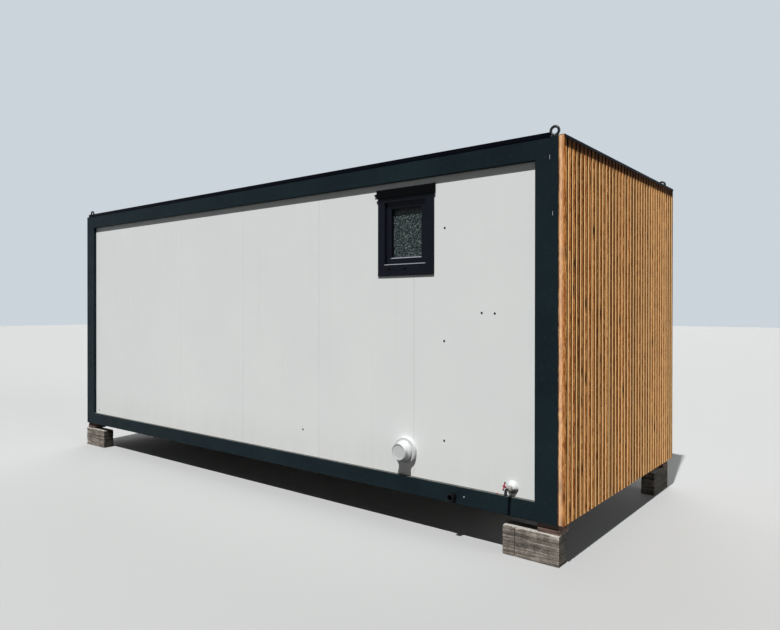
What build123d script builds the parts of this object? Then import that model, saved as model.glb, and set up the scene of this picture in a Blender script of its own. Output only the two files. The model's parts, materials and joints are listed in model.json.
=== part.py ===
from build123d import *
import math
import os

# Sizes are in millimetres. The long white wall faces -Y and the larch end faces +X.

# How far a cutter runs past the faces it cuts
cutter_margin = 1

# Steel frame
frame_length = 6100
frame_width = 2450
frame_height = 2500
post_size = 165
bottom_rail_height = 129
top_rail_height = 140
rail_depth = 120
section_radius = 6

# Floor and roof
joist_count = 9
joist_height = 100
joist_width = 50
joist_wall = 5
floor_deck_thickness = 22
ceiling_thickness = 100
roof_board_thickness = 25
edge_trim_thickness = 3
edge_trim_drop = 2
edge_trim_flange = 92
edge_trim_past_notch = 42
end_trim_leg = 20
membrane_thickness = 3

# Lifting eyes on the corner posts
eye_inset = 46
eye_height = 83
eye_ring_outer = 74
eye_ring_inner = 38
eye_boss_diameter = 42
eye_boss_height = 14
eye_neck_height = 6

# Sandwich wall panels
panel_recess = 30
panel_thickness = 60
panel_cover_width = 1000
panel_gap = 1.5
panel_bevel = 2
tongue_thickness = 20
tongue_length = 12
tongue_clearance = 1

# Larch cladding on the right end
batten_width = 40
batten_thickness = 26
batten_gap = 26.5
batten_chamfer = 2
batten_foot_gap = 8
batten_rail_thickness = 14
batten_rail_height = 45
batten_rail_count = 5
batten_rail_inset = 120
batten_rail_joint = 2

# Window with its shutter cassette, set out from the first panel joint and the top rail
window_past_joint = 186
window_head_gap = 44
window_width = 531
window_height = 605
window_lip = 25
window_proud = 8
window_left_face = 65
window_right_face = 82
window_bottom_face = 92
window_top_face = 38
window_bevel = 6
window_body_depth = 74
window_sill_height = 14
window_sill_proud = 1
window_fit = 2
sash_recess = 22
sash_overlap = 20
sash_depth = 54
sash_face = 51
sash_bevel = 8
glass_lip = 30
glass_thickness = 20
glass_edge = 13
cassette_past_left = 5
cassette_past_right = 12
cassette_height = 67
cassette_proud = 20
cassette_radius = 8
cassette_cap = 5
cassette_cap_proud = 2

# Entrance door in the back wall, in the place of one whole panel
door_panel = 3
door_head_height = 132
door_frame_face = 62
door_frame_depth = 70
door_frame_proud = 20
door_threshold_height = 30
door_leaf_thickness = 48
door_gap = 4
door_stop = 16
door_stop_depth = 12
latch_height = 1020
latch_backset = 55
latch_plate_width = 34
latch_plate_height = 220
latch_plate_thickness = 8
latch_projection = 55
latch_bar_diameter = 20
latch_bar_length = 130
latch_bend = 18

# Waste outlet, set out from the first panel joint
outlet_from_joint = 70
outlet_height = 320
outlet_bore = 110.8
outlet_wall = 3.4
outlet_reach = 72
outlet_bead_length = 9
outlet_bead_proud = 3
outlet_socket_depth = 60
outlet_pipe_bore = 103.6
outlet_collar_diameter = 150
outlet_collar_length = 17
outlet_rosette_diameter = 196
outlet_rosette_length = 28
outlet_round = 5
outlet_inner_stub = 60
outlet_hole_clearance = 1.5

# Water tap
tap_from_right = 336
tap_height = 190
tap_collar_diameter = 86
tap_collar_nose = 42
tap_collar_length = 30
tap_collar_rim = 4
tap_collar_round = 5
tap_pipe_diameter = 22
tap_nut_size = 30
tap_nut_length = 12
tap_body_diameter = 25
tap_body_length = 36
tap_spout_diameter = 18
tap_spout_reach = 100
tap_spout_drop = 36
tap_spout_bend = 15
tap_mouth_diameter = 23
tap_mouth_length = 12
tap_mouth_bore = 14
tap_mouth_depth = 16
tap_bonnet_angle = 27
tap_bonnet_diameter = 19
tap_bonnet_length = 40
tap_stem_diameter = 8
tap_stem_clearance = 0.1
tap_stem_seat = 12
handle_distance = 68
handle_hub_diameter = 15
handle_hub_length = 16
handle_span = 40
handle_rod_diameter = 9
handle_ball_diameter = 13
handle_ball_offset = 3

# Black pipe stub through the bottom rail
stub_from_right = 790
stub_height = 52
stub_diameter = 50
stub_wall = 4
stub_reach = 50
stub_clearance = 1

# Concrete blocks and timber packs under the corners
block_length = 408
block_outset = 8
block_depth = 120
block_height = 200
block_chamfer = 5
block_joint_from_end = 95
block_joint_width = 5
block_joint_depth = 4
pack_length = 158
pack_depth = 140
pack_outset = 6
pack_setback = 18
pack_board_thickness = 32
pack_slip = 4

# Places that follow from the sizes above, with the origin under the middle of the outline
cladding_depth = batten_rail_thickness + batten_thickness
eye_notch = edge_trim_flange
bonnet_cos = math.cos(math.radians(tap_bonnet_angle))
bonnet_sin = math.sin(math.radians(tap_bonnet_angle))
bonnet_start = tap_collar_length + tap_nut_length + tap_body_length / 2
handle_out = bonnet_start + handle_distance * bonnet_cos
ball_out = handle_out + (handle_span / 2 + handle_ball_offset) * bonnet_sin + handle_ball_diameter / 2
leaf_in = panel_recess - door_frame_proud + door_frame_depth - door_stop_depth - door_leaf_thickness
reach_left = max(edge_trim_thickness, block_outset)
reach_right = cladding_depth + edge_trim_thickness
reach_front = max(outlet_reach, ball_out - panel_recess, stub_reach)
reach_back = max(latch_projection - leaf_in, edge_trim_thickness)
x_left = -(frame_length + reach_left + reach_right) / 2 + reach_left
x_right = x_left + frame_length
y_front = -(frame_width + reach_front + reach_back) / 2 + reach_front
y_back = y_front + frame_width
z_foot = block_height + 2 * pack_board_thickness
z_top = z_foot + frame_height
batten_foot = z_foot + batten_foot_gap
clear_length = frame_length - 2 * post_size
clear_width = frame_width - 2 * post_size
wall_bottom = z_foot + bottom_rail_height
wall_top = z_top - top_rail_height
wall_height = wall_top - wall_bottom
door_height = wall_height - door_head_height
panel_face = y_front + panel_recess
first_joint = x_right - post_size - panel_cover_width


def slab(x0, x1, y0, y1, z0, z1):
    """A box given by its two ends along each axis."""
    return Pos(x0, y0, z0) * Box(x1 - x0, y1 - y0, z1 - z0, align=Align.MIN)


def save(name, *solids):
    """Write one sub-part, as one solid or as several that don't touch."""
    shape = solids[0] if len(solids) == 1 else Compound(children=list(solids))
    export_step(shape, os.path.join("parts", name + ".step"))


def section_bar(width, height, length):
    """A closed rolled section with rounded corners, standing along +Z from the origin."""
    return extrude(RectangleRounded(width, height, section_radius), amount=length)


# Corner posts and rails
def corner_post(x, y):
    return Pos(x, y, z_foot) * section_bar(post_size, post_size, frame_height)


def long_rail(y, z, height):
    """A rail along X between the posts; y is its middle and z its underside."""
    bar = section_bar(height, rail_depth, clear_length)
    return Pos(x_left + post_size, y, z + height / 2) * Rot(0, 90, 0) * bar


def end_rail(x, z, height):
    """A rail along Y between the posts; x is its middle and z its underside."""
    bar = section_bar(rail_depth, height, clear_width)
    return Pos(x, y_front + post_size, z + height / 2) * Rot(-90, 0, 0) * bar


def stub_hole():
    """Cutter for the pipe stub's hole through the front bottom rail."""
    radius = stub_diameter / 2 + stub_clearance
    cutter = Cylinder(radius, 2 * rail_depth, rotation=(90, 0, 0))
    return Pos(x_right - stub_from_right, y_front + rail_depth / 2, z_foot + stub_height) * cutter


# Floor and roof
def joist(x):
    """A cold-formed channel across the floor, open towards +X."""
    half, flange = joist_height / 2, joist_width
    outline = Polyline(
        (0, -half), (flange, -half), (flange, -half + joist_wall), (joist_wall, -half + joist_wall),
        (joist_wall, half - joist_wall), (flange, half - joist_wall), (flange, half), (0, half), close=True,
    )
    span = frame_width - 2 * rail_depth
    channel = extrude(Plane.XZ * make_face(outline), amount=-span)
    return Pos(x - flange / 2, y_front + rail_depth, wall_bottom - floor_deck_thickness - half) * channel


def floor_joists():
    first = x_left + rail_depth
    pitch = (frame_length - 2 * rail_depth) / (joist_count + 1)
    return [joist(first + pitch * (i + 1)) for i in range(joist_count)]


def between_rails(z0, z1):
    """A sheet that fills the inside of the rails, clear of the corner posts."""
    sheet = slab(x_left + rail_depth, x_right - rail_depth,
                 y_front + rail_depth, y_back - rail_depth, z0, z1)
    for x in (x_left, x_right - post_size):
        for y in (y_front, y_back - post_size):
            sheet -= slab(x, x + post_size, y, y + post_size, z0, z1)
    return sheet


def roof_board():
    """The weather board over the whole frame, notched round the lifting eyes."""
    board = slab(x_left, x_right, y_front, y_back, z_top, z_top + roof_board_thickness)
    for x in (x_left, x_right - eye_notch):
        for y in (y_front, y_back - eye_notch):
            board -= slab(x, x + eye_notch, y, y + eye_notch, z_top, z_top + roof_board_thickness)
    return board


def roof_membrane():
    """The waterproof sheet on the board, inside the edge trims' flanges."""
    inset, z0 = edge_trim_flange, z_top + roof_board_thickness
    return slab(x_left + inset, x_right - inset,
                y_front + inset, y_back - inset, z0, z0 + membrane_thickness)


def edge_trim(outside, length):
    """An angle of sheet metal along +Y: leg at -outside, flange reaching edge_trim_flange inwards."""
    t, low, high = edge_trim_thickness, -edge_trim_drop, roof_board_thickness
    outline = Polyline(
        (-outside - t, low), (-outside, low), (-outside, high), (edge_trim_flange, high),
        (edge_trim_flange, high + t), (-outside - t, high + t), close=True,
    )
    return Pos(0, 0, z_top) * extrude(Plane.XZ * make_face(outline), amount=-length)


def notched_trim(length):
    """A trim whose flange stops at the lifting eyes while its leg runs on in front of them."""
    past = edge_trim_past_notch
    trim = edge_trim(0, length + 2 * past)
    low, high = z_top - edge_trim_drop, z_top + roof_board_thickness + edge_trim_thickness
    for y in (0, length + past):
        trim -= slab(0, edge_trim_flange, y, y + past, low, high)
    return Pos(0, -past, 0) * trim


def long_trim(front):
    trim = notched_trim(frame_length - 2 * eye_notch)
    if front:
        return Pos(x_right - eye_notch, y_front, 0) * Rot(0, 0, 90) * trim
    return Pos(x_left + eye_notch, y_back, 0) * Rot(0, 0, -90) * trim


def left_trim():
    return Pos(x_left, y_front + eye_notch, 0) * notched_trim(frame_width - 2 * eye_notch)


def right_trim():
    """A stepped trim: from the roof board down its edge, out over the battens and down their faces."""
    t, board, over = edge_trim_thickness, roof_board_thickness, cladding_depth
    outline = Polyline(
        (-over - t, t - end_trim_leg), (-over, t - end_trim_leg), (-over, 0), (0, 0), (0, board),
        (edge_trim_flange, board), (edge_trim_flange, board + t), (-t, board + t), (-t, t),
        (-over - t, t), close=True,
    )
    trim = Pos(0, 0, z_top) * extrude(Plane.XZ * make_face(outline), amount=-frame_width)
    for y in (0, frame_width - eye_notch):
        trim -= slab(-t, edge_trim_flange, y, y + eye_notch, z_top + t, z_top + board + t)
    return Pos(x_right, y_back, 0) * Rot(0, 0, 180) * trim


def lifting_eye(x, y):
    """A ring on a round boss; the ring stands in the XZ plane."""
    ring_radius = (eye_ring_outer + eye_ring_inner) / 4
    bar_radius = (eye_ring_outer - eye_ring_inner) / 4
    boss = Cylinder(eye_boss_diameter / 2, eye_boss_height, align=(Align.CENTER, Align.CENTER, Align.MIN))
    boss = chamfer(boss.edges().group_by(Axis.Z)[-1], eye_neck_height / 6)
    neck = Cone(eye_boss_diameter / 2 - eye_neck_height / 3, bar_radius, eye_neck_height,
                align=(Align.CENTER, Align.CENTER, Align.MIN))
    ring = Torus(ring_radius, bar_radius, rotation=(90, 0, 0))
    ring_middle = eye_height - eye_ring_outer / 2
    eye = boss + Pos(0, 0, eye_boss_height) * neck + Pos(0, 0, ring_middle) * ring
    return Pos(x, y, z_top) * eye


# Wall panels
def panel_profile(width, tongue, groove):
    """Plan of one sandwich panel: width along +X, outer face on X, inside towards +Y."""
    t, low = panel_thickness, (panel_thickness - tongue_thickness) / 2
    high, cut, bevel = t - low, tongue_clearance, panel_bevel
    left = 0 if not groove else panel_gap / 2
    right = width if not tongue else width - panel_gap / 2
    points = [(left + bevel, 0), (right - bevel, 0), (right, bevel)]
    if tongue:
        tip = right + tongue_length
        points += [(right, low), (tip, low), (tip, high), (right, high)]
    points += [(right, t), (left, t)]
    if groove:
        root = left + tongue_length + cut - panel_gap
        points += [(left, high + cut), (root, high + cut), (root, low - cut), (left, low - cut)]
    points += [(left, bevel)]
    return make_face(Polyline(*points, close=True))


def panel_run(length):
    """Start and width of each panel, set out from the +X end of the run."""
    count = int(-(-length // panel_cover_width))
    ends = [max(length - panel_cover_width * i, 0) for i in range(count + 1)]
    return [(ends[i + 1], ends[i] - ends[i + 1]) for i in range(count)]


def wall_panels(length, plain_sides=()):
    """The panels of one wall in its own frame, first the one at the +X end."""
    run = panel_run(length)
    panels = []
    for i, (start, width) in enumerate(run):
        tongue = i > 0 and i not in plain_sides
        groove = i < len(run) - 1 and i + 1 not in plain_sides
        panels.append(Pos(start, 0, 0) * extrude(panel_profile(width, tongue, groove), amount=wall_height))
    return panels


def front_panels():
    place = Pos(x_left + post_size, panel_face, wall_bottom)
    panels = [place * panel for panel in wall_panels(clear_length)]
    cutters = (window_hole(), outlet_hole(), tap_hole())
    return [cut_where_met(panel, cutters) for panel in panels]


def cut_where_met(panel, cutters):
    """Cut a panel with those cutters that reach it."""
    for cutter in cutters:
        if (panel & cutter).volume > 0:
            panel = panel - cutter
    return panel


def back_panels():
    """Back wall panels and the piece over the door."""
    place = Pos(x_right - post_size, y_back - panel_recess, wall_bottom) * Rot(0, 0, 180)
    start, width = panel_run(clear_length)[door_panel - 1]
    panels = wall_panels(clear_length, plain_sides=(door_panel - 1, door_panel))
    whole = [place * panel for i, panel in enumerate(panels) if i != door_panel - 1]
    over = extrude(panel_profile(width, False, False), amount=door_head_height)
    return whole, place * Pos(start, 0, door_height) * over


def left_end_panels():
    place = Pos(x_left + panel_recess, y_back - post_size, wall_bottom) * Rot(0, 0, -90)
    return [place * panel for panel in wall_panels(clear_width)]


def right_end_panels():
    """These lie flush with the frame, so that the batten rails lie flat on both."""
    place = Pos(x_right, y_front + post_size, wall_bottom) * Rot(0, 0, 90)
    return [place * panel for panel in wall_panels(clear_width)]


# Larch cladding
def batten_rails():
    """An upright along each corner and level rails between them."""
    x0, x1 = x_right, x_right + batten_rail_thickness
    uprights = [
        slab(x0, x1, y, y + batten_width, batten_foot, z_top) for y in (y_front, y_back - batten_width)
    ]
    y0 = y_front + batten_width + batten_rail_joint
    y1 = y_back - batten_width - batten_rail_joint
    pitch = (frame_height - 2 * batten_rail_inset) / (batten_rail_count - 1)
    levels = [z_foot + batten_rail_inset + pitch * i for i in range(batten_rail_count)]
    half = batten_rail_height / 2
    return uprights + [slab(x0, x1, y0, y1, z - half, z + half) for z in levels]


def larch_battens():
    """Upright battens at an even pitch, the first and last flush with the frame."""
    count = round((frame_width + batten_gap) / (batten_width + batten_gap))
    pitch = (frame_width - batten_width) / (count - 1)
    x0 = x_right + batten_rail_thickness
    battens = []
    for i in range(count):
        y0 = y_front + pitch * i
        batten = slab(x0, x0 + batten_thickness, y0, y0 + batten_width, batten_foot, z_top)
        corners = batten.edges().filter_by(Axis.Z).group_by(Axis.X)[-1]
        battens.append(chamfer(corners, batten_chamfer))
    return battens


# Window
window_right = first_joint + window_past_joint
window_left = window_right - window_width
window_z1 = wall_top - window_head_gap - cassette_height
window_z0 = window_z1 - window_height
window_face = panel_face - window_proud
sash_face_y = window_face + sash_recess
sight_left = window_left + window_left_face
sight_right = window_right - window_right_face
sight_z0 = window_z0 + window_bottom_face
sight_z1 = window_z1 - window_top_face


def window_hole():
    """Cutter for the wall, a little larger than the window's body."""
    rim = window_lip - window_fit
    inner = panel_face + panel_thickness
    return slab(window_left + rim, window_right - rim, panel_face - cutter_margin, inner + cutter_margin,
                window_z0 + rim, window_z1 - rim)


def bevelled_opening(x0, x1, y0, y1, z0, z1, bevel):
    """Cutter through y0 to y1 whose mouth at y0 is wider by the bevel all round."""
    middle = Pos((x0 + x1) / 2, y0, (z0 + z1) / 2) * Rot(-90, 0, 0)
    mouth = middle * Rectangle(x1 - x0 + 2 * bevel, z1 - z0 + 2 * bevel)
    throat = middle * Pos(0, 0, bevel) * Rectangle(x1 - x0, z1 - z0)
    return loft([mouth, throat]) + slab(x0, x1, y0 + bevel, y1, z0, z1)


def window_frame():
    """Outer frame: a lip over the panel, a body through it, a rebate for the sash and a sill."""
    body_end = panel_face + window_body_depth
    past_end = body_end + cutter_margin
    frame = slab(window_left, window_right, window_face, panel_face, window_z0, window_z1)
    frame += slab(window_left + window_lip, window_right - window_lip, panel_face, body_end,
                  window_z0 + window_lip, window_z1 - window_lip)
    frame += slab(window_left, window_right, window_face - window_sill_proud, window_face,
                  window_z0, window_z0 + window_sill_height)
    frame -= bevelled_opening(sight_left, sight_right, window_face, past_end,
                              sight_z0, sight_z1, window_bevel)
    return frame - slab(sight_left - sash_overlap, sight_right + sash_overlap, sash_face_y, past_end,
                        sight_z0 - sash_overlap, sight_z1 + sash_overlap / 2)


def window_sash():
    """Inner frame, seen inside the outer one, with a bevel towards the glass."""
    side, top = sash_overlap - window_fit, sash_overlap / 2 - window_fit
    y0, y1 = sash_face_y, sash_face_y + sash_depth
    sash = slab(sight_left - side, sight_right + side, y0, y1, sight_z0 - side, sight_z1 + top)
    gx0, gx1 = sight_left + sash_face, sight_right - sash_face
    gz0, gz1 = sight_z0 + sash_face, sight_z1 - sash_face
    sash -= bevelled_opening(gx0, gx1, y0, y1 + cutter_margin, gz0, gz1, sash_bevel)
    edge = glass_edge + window_fit
    return sash - slab(gx0 - edge, gx1 + edge, y0 + glass_lip, y1 + cutter_margin, gz0 - edge, gz1 + edge)


def window_glass():
    """The sealed unit, against the sash's outer lip."""
    gx0, gx1 = sight_left + sash_face - glass_edge, sight_right - sash_face + glass_edge
    gz0, gz1 = sight_z0 + sash_face - glass_edge, sight_z1 - sash_face + glass_edge
    y0 = sash_face_y + glass_lip
    return slab(gx0, gx1, y0, y0 + glass_thickness, gz0, gz1)


def shutter_cassette():
    """The box over the window, round along its front top edge, with an end cap each side."""
    y0, z0 = panel_face - cassette_proud, window_z1
    x0 = window_left - cassette_past_left
    x1 = window_right + cassette_past_right
    box = slab(x0, x1, y0, panel_face, z0, z0 + cassette_height)
    front_top = box.edges().filter_by(Axis.X).group_by(Axis.Y)[0].sort_by(Axis.Z)[-1]
    box = fillet(front_top, cassette_radius)
    proud = cassette_cap_proud
    for x in (x0, x1 - cassette_cap):
        cap = slab(x, x + cassette_cap, y0 - proud, panel_face, z0, z0 + cassette_height + proud)
        edge = cap.edges().filter_by(Axis.X).group_by(Axis.Y)[0].sort_by(Axis.Z)[-1]
        box += fillet(edge, cassette_radius + proud)
    return box


# Door
door_start, door_width = panel_run(clear_length)[door_panel - 1]
door_x1 = x_right - post_size - door_start
door_x0 = door_x1 - door_width
door_z0 = wall_bottom
door_z1 = door_z0 + door_height
door_face = y_back - panel_recess + door_frame_proud
leaf_face = y_back - leaf_in
leaf_x0 = door_x0 + door_frame_face + door_gap
leaf_x1 = door_x1 - door_frame_face - door_gap
leaf_z0 = door_z0 + door_threshold_height + door_gap
leaf_z1 = door_z1 - door_frame_face - door_gap


def door_frame():
    """Frame in the panel's place, with a threshold and a stop on the inner side."""
    inner = door_face - door_frame_depth
    frame = slab(door_x0, door_x1, inner, door_face, door_z0, door_z1)
    rebate, sill = inner + door_stop_depth, door_z0 + door_threshold_height
    frame -= slab(door_x0 + door_frame_face, door_x1 - door_frame_face, rebate, door_face + cutter_margin,
                  sill, door_z1 - door_frame_face)
    inset = door_frame_face + door_stop
    return frame - slab(door_x0 + inset, door_x1 - inset, inner - cutter_margin, door_face,
                        sill, door_z1 - inset)


def door_leaf():
    """The leaf, closed against the stop."""
    leaf = slab(leaf_x0, leaf_x1, leaf_face - door_leaf_thickness, leaf_face, leaf_z0, leaf_z1)
    return chamfer(leaf.edges().group_by(Axis.Y)[-1], panel_bevel)


def door_handle():
    """A lever on a long plate, on the outside of the leaf."""
    x, y, z = leaf_x0 + latch_backset, leaf_face, door_z0 + latch_height
    half = latch_plate_width / 2
    plate = slab(x - half, x + half, y, y + latch_plate_thickness,
                 z - latch_plate_height * 2 / 3, z + latch_plate_height / 3)
    plate = fillet(plate.edges().filter_by(Axis.Y), half / 2)
    radius = latch_bar_diameter / 2
    elbow = Vector(x, y + latch_projection - radius, z)
    tip = elbow + Vector(latch_bar_length, 0, 0)
    path = FilletPolyline(Vector(x, y, z), elbow, tip, radius=latch_bend)
    return plate + sweep(Plane(path @ 0, z_dir=path % 0) * Circle(radius), path=path)


# Waste outlet
outlet_x = first_joint - outlet_from_joint
outlet_z = z_foot + outlet_height
outlet_mouth = y_front - outlet_reach


def outlet_hole():
    radius = outlet_bore / 2 + outlet_wall + outlet_hole_clearance
    y = panel_face + panel_thickness / 2
    return Pos(outlet_x, y, outlet_z) * Cylinder(radius, 2 * panel_thickness, rotation=(90, 0, 0))


def waste_outlet():
    """A drain socket turned about its axis: beaded mouth, collar, wall rosette and pipe inside."""
    bore, pipe_bore = outlet_bore / 2, outlet_pipe_bore / 2
    outer, collar, rosette = bore + outlet_wall, outlet_collar_diameter / 2, outlet_rosette_diameter / 2
    wall = panel_face - outlet_mouth
    inner_end = wall + panel_thickness + outlet_inner_stub
    rosette_start = wall - outlet_rosette_length
    collar_start = rosette_start - outlet_collar_length
    slope = collar - outer
    outline = Polyline(
        (bore, 0), (outer + outlet_bead_proud, 0), (outer + outlet_bead_proud, outlet_bead_length),
        (outer, outlet_bead_length + outlet_bead_proud), (outer, collar_start - slope),
        (collar, collar_start), (collar, rosette_start), (rosette, rosette_start), (rosette, wall),
        (outer, wall), (outer, inner_end), (pipe_bore, inner_end),
        (pipe_bore, outlet_socket_depth + outlet_wall), (bore, outlet_socket_depth), close=True,
    )
    turned = revolve(make_face(outline), axis=Axis.Y)
    rim = [e for e in turned.edges().filter_by(GeomType.CIRCLE)
           if abs(e.radius - rosette) < 0.01 and abs(e.center().Y - rosette_start) < 0.01]
    turned = fillet(rim, outlet_round)
    return Pos(outlet_x, outlet_mouth, outlet_z) * turned


# Water tap
tap_x = x_right - tap_from_right
tap_z = z_foot + tap_height
bonnet_foot = Pos(tap_x, panel_face - bonnet_start, tap_z) * Rot(90 - tap_bonnet_angle, 0, 0)
STANDING = (Align.CENTER, Align.CENTER, Align.MIN)


def along_front(radius, y0, y1, x, z):
    """A round bar along Y between two depths."""
    return Pos(x, y0, z) * Rot(-90, 0, 0) * Cylinder(radius, y1 - y0, align=STANDING)


def tap_hole():
    y0, y1 = panel_face - cutter_margin, panel_face + panel_thickness + cutter_margin
    return along_front(tap_pipe_diameter / 2, y0, y1, tap_x, tap_z)


def tap_collar():
    """White wall collar round the supply pipe: a rim on the wall, narrowing to the nut."""
    front, base = panel_face - tap_collar_length, tap_collar_diameter / 2
    cone = Cone(base, tap_collar_nose / 2, tap_collar_length - tap_collar_rim, align=STANDING)
    collar = Cylinder(base, tap_collar_rim, align=STANDING) + Pos(0, 0, tap_collar_rim) * cone
    collar = Pos(tap_x, panel_face, tap_z) * Rot(90, 0, 0) * collar
    collar = fillet(collar.edges().group_by(Axis.Y)[0], tap_collar_round)
    y0, y1 = front - cutter_margin, panel_face + cutter_margin
    return collar - along_front(tap_pipe_diameter / 2, y0, y1, tap_x, tap_z)


def tap_valve():
    """Tap body on its supply pipe: union nut, spout bent down to a hose mouth, and leaning bonnet."""
    collar_front = panel_face - tap_collar_length
    nut_front = collar_front - tap_nut_length
    body_front = nut_front - tap_body_length
    valve = along_front(tap_pipe_diameter / 2, collar_front, panel_face + panel_thickness, tap_x, tap_z)
    nut = extrude(RegularPolygon(tap_nut_size / 2, 6, major_radius=False), amount=tap_nut_length)
    valve += Pos(tap_x, nut_front, tap_z) * Rot(-90, 0, 0) * nut
    valve += along_front(tap_body_diameter / 2, body_front, nut_front, tap_x, tap_z)
    mouth = Pos(tap_x, panel_face - tap_spout_reach, tap_z - tap_spout_drop)
    start = Vector(tap_x, body_front, tap_z)
    bend = Vector(tap_x, panel_face - tap_spout_reach, tap_z)
    path = FilletPolyline(start, bend, bend - Vector(0, 0, tap_spout_drop), radius=tap_spout_bend)
    valve += sweep(Plane(path @ 0, z_dir=path % 0) * Circle(tap_spout_diameter / 2), path=path)
    valve += mouth * Cylinder(tap_mouth_diameter / 2, tap_mouth_length, align=STANDING)
    valve += bonnet_foot * Cylinder(tap_bonnet_diameter / 2, tap_bonnet_length, align=STANDING)
    valve -= mouth * Cylinder(tap_mouth_bore / 2, tap_mouth_depth, align=STANDING)
    seat = tap_stem_seat + tap_stem_clearance
    stem_hole = Cylinder(tap_stem_diameter / 2 + tap_stem_clearance, seat, align=STANDING)
    return valve - bonnet_foot * Pos(0, 0, tap_bonnet_length - seat) * stem_hole


def tap_handle():
    """Stem, hub and cross rod of the handle that turns in the bonnet; at rest the rod stands upright."""
    stem_foot = tap_bonnet_length - tap_stem_seat
    hub_foot = handle_distance - handle_hub_length / 2
    handle = Pos(0, 0, stem_foot) * Cylinder(tap_stem_diameter / 2, hub_foot - stem_foot, align=STANDING)
    handle += Pos(0, 0, hub_foot) * Cylinder(handle_hub_diameter / 2, handle_hub_length, align=STANDING)
    handle += Pos(0, 0, handle_distance) * Rot(90, 0, 0) * Cylinder(handle_rod_diameter / 2, handle_span)
    return bonnet_foot * handle


def handle_ball(side):
    """One of the two round grips, flat where the rod's end meets it."""
    flat = side * handle_span / 2
    ball = Pos(0, flat + side * handle_ball_offset, handle_distance) * Sphere(handle_ball_diameter / 2)
    size = 2 * handle_ball_diameter
    cut = Pos(0, flat - side * size / 2, handle_distance) * Box(size, size, size)
    return bonnet_foot * (ball - cut)


# Pipe stub
def pipe_stub():
    x, z = x_right - stub_from_right, z_foot + stub_height
    y0, y1 = y_front - stub_reach, y_front + rail_depth
    tube = along_front(stub_diameter / 2, y0, y1, x, z)
    return tube - along_front(stub_diameter / 2 - stub_wall, y0 - cutter_margin, y1 + cutter_margin, x, z)


# Supports
def support_block():
    """One block lying along +X from its outer corner, with the joint mark in its front face."""
    block = Box(block_length, block_depth, block_height, align=Align.MIN)
    block = chamfer(block.edges().group_by(Axis.Z)[-1] + block.edges().filter_by(Axis.Z), block_chamfer)
    x = block_length - block_joint_from_end
    half = block_joint_width / 2
    return block - slab(x - half, x + half, 0, block_joint_depth, 0, block_height)


def support_blocks():
    """The front blocks lie along the long wall and the back ones along the ends."""
    block, out = support_block(), block_outset
    return [
        Pos(x_left - out, y_front, 0) * block,
        Pos(x_right + out, y_front, 0) * mirror(block, about=Plane.YZ),
        Pos(x_left, y_back, 0) * Rot(0, 0, -90) * block,
        Pos(x_right, y_back - block_length, 0) * Rot(0, 0, 90) * block,
    ]


def pack_boards(layer):
    """One board at each corner, set back under the rails; the upper ones sit a little further back."""
    slip = pack_slip * layer
    z0 = block_height + pack_board_thickness * layer
    z1 = z0 + pack_board_thickness
    boards = []
    back = pack_setback + slip
    for x0 in (x_left - pack_outset + slip, x_right + pack_outset - pack_length - slip):
        for y0 in (y_front + back, y_back - pack_depth - back):
            boards.append(slab(x0, x0 + pack_length, y0, y0 + pack_depth, z0, z1))
    return boards


def main():
    os.makedirs("parts", exist_ok=True)
    half_post, half_rail = post_size / 2, rail_depth / 2

    save("corner_post_front_left", corner_post(x_left + half_post, y_front + half_post))
    save("corner_post_front_right", corner_post(x_right - half_post, y_front + half_post))
    save("corner_post_back_left", corner_post(x_left + half_post, y_back - half_post))
    save("corner_post_back_right", corner_post(x_right - half_post, y_back - half_post))
    save("front_bottom_rail", long_rail(y_front + half_rail, z_foot, bottom_rail_height) - stub_hole())
    save("back_bottom_rail", long_rail(y_back - half_rail, z_foot, bottom_rail_height))
    save("front_top_rail", long_rail(y_front + half_rail, wall_top, top_rail_height))
    save("back_top_rail", long_rail(y_back - half_rail, wall_top, top_rail_height))
    ends = (x_left + half_rail, x_right - half_rail)
    save("end_bottom_rails", *[end_rail(x, z_foot, bottom_rail_height) for x in ends])
    save("end_top_rails", *[end_rail(x, wall_top, top_rail_height) for x in ends])

    save("floor_joists", *floor_joists())
    save("floor_deck", between_rails(wall_bottom - floor_deck_thickness, wall_bottom))
    save("ceiling_panel", between_rails(z_top - ceiling_thickness, z_top))
    save("roof_board", roof_board())
    save("roof_membrane", roof_membrane())
    save("long_roof_edges", long_trim(True), long_trim(False))
    save("left_roof_edge", left_trim())
    save("right_roof_edge", right_trim())
    save("lifting_eyes", *[
        lifting_eye(x, y) for x in (x_left + eye_inset, x_right - eye_inset)
        for y in (y_front + eye_inset, y_back - eye_inset)
    ])

    for i, panel in enumerate(front_panels()):
        save(f"front_wall_panel_{i + 1}", panel)
    whole, over_door = back_panels()
    save("back_wall_panels", *whole)
    save("back_wall_over_door", over_door)
    save("left_end_wall_panels", *left_end_panels())
    save("right_end_wall_panels", *right_end_panels())
    save("batten_rails", *batten_rails())
    save("larch_battens", *larch_battens())

    save("window_frame", window_frame())
    save("window_sash", window_sash())
    save("window_glass", window_glass())
    save("shutter_cassette", shutter_cassette())
    save("door_frame", door_frame())
    save("door_leaf", door_leaf())
    save("door_handle", door_handle())
    save("waste_outlet", waste_outlet())
    save("tap_collar", tap_collar())
    save("tap_valve", tap_valve())
    save("tap_handle", tap_handle())
    save("tap_handle_grips", handle_ball(-1), handle_ball(1))
    save("pipe_stub", pipe_stub())
    save("support_blocks", *support_blocks())
    save("lower_timber_packs", *pack_boards(0))
    save("upper_timber_packs", *pack_boards(1))


main()
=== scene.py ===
import json
import math
import random

import bmesh
import bpy
from mathutils import Matrix, Vector
from mathutils import noise as field


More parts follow.
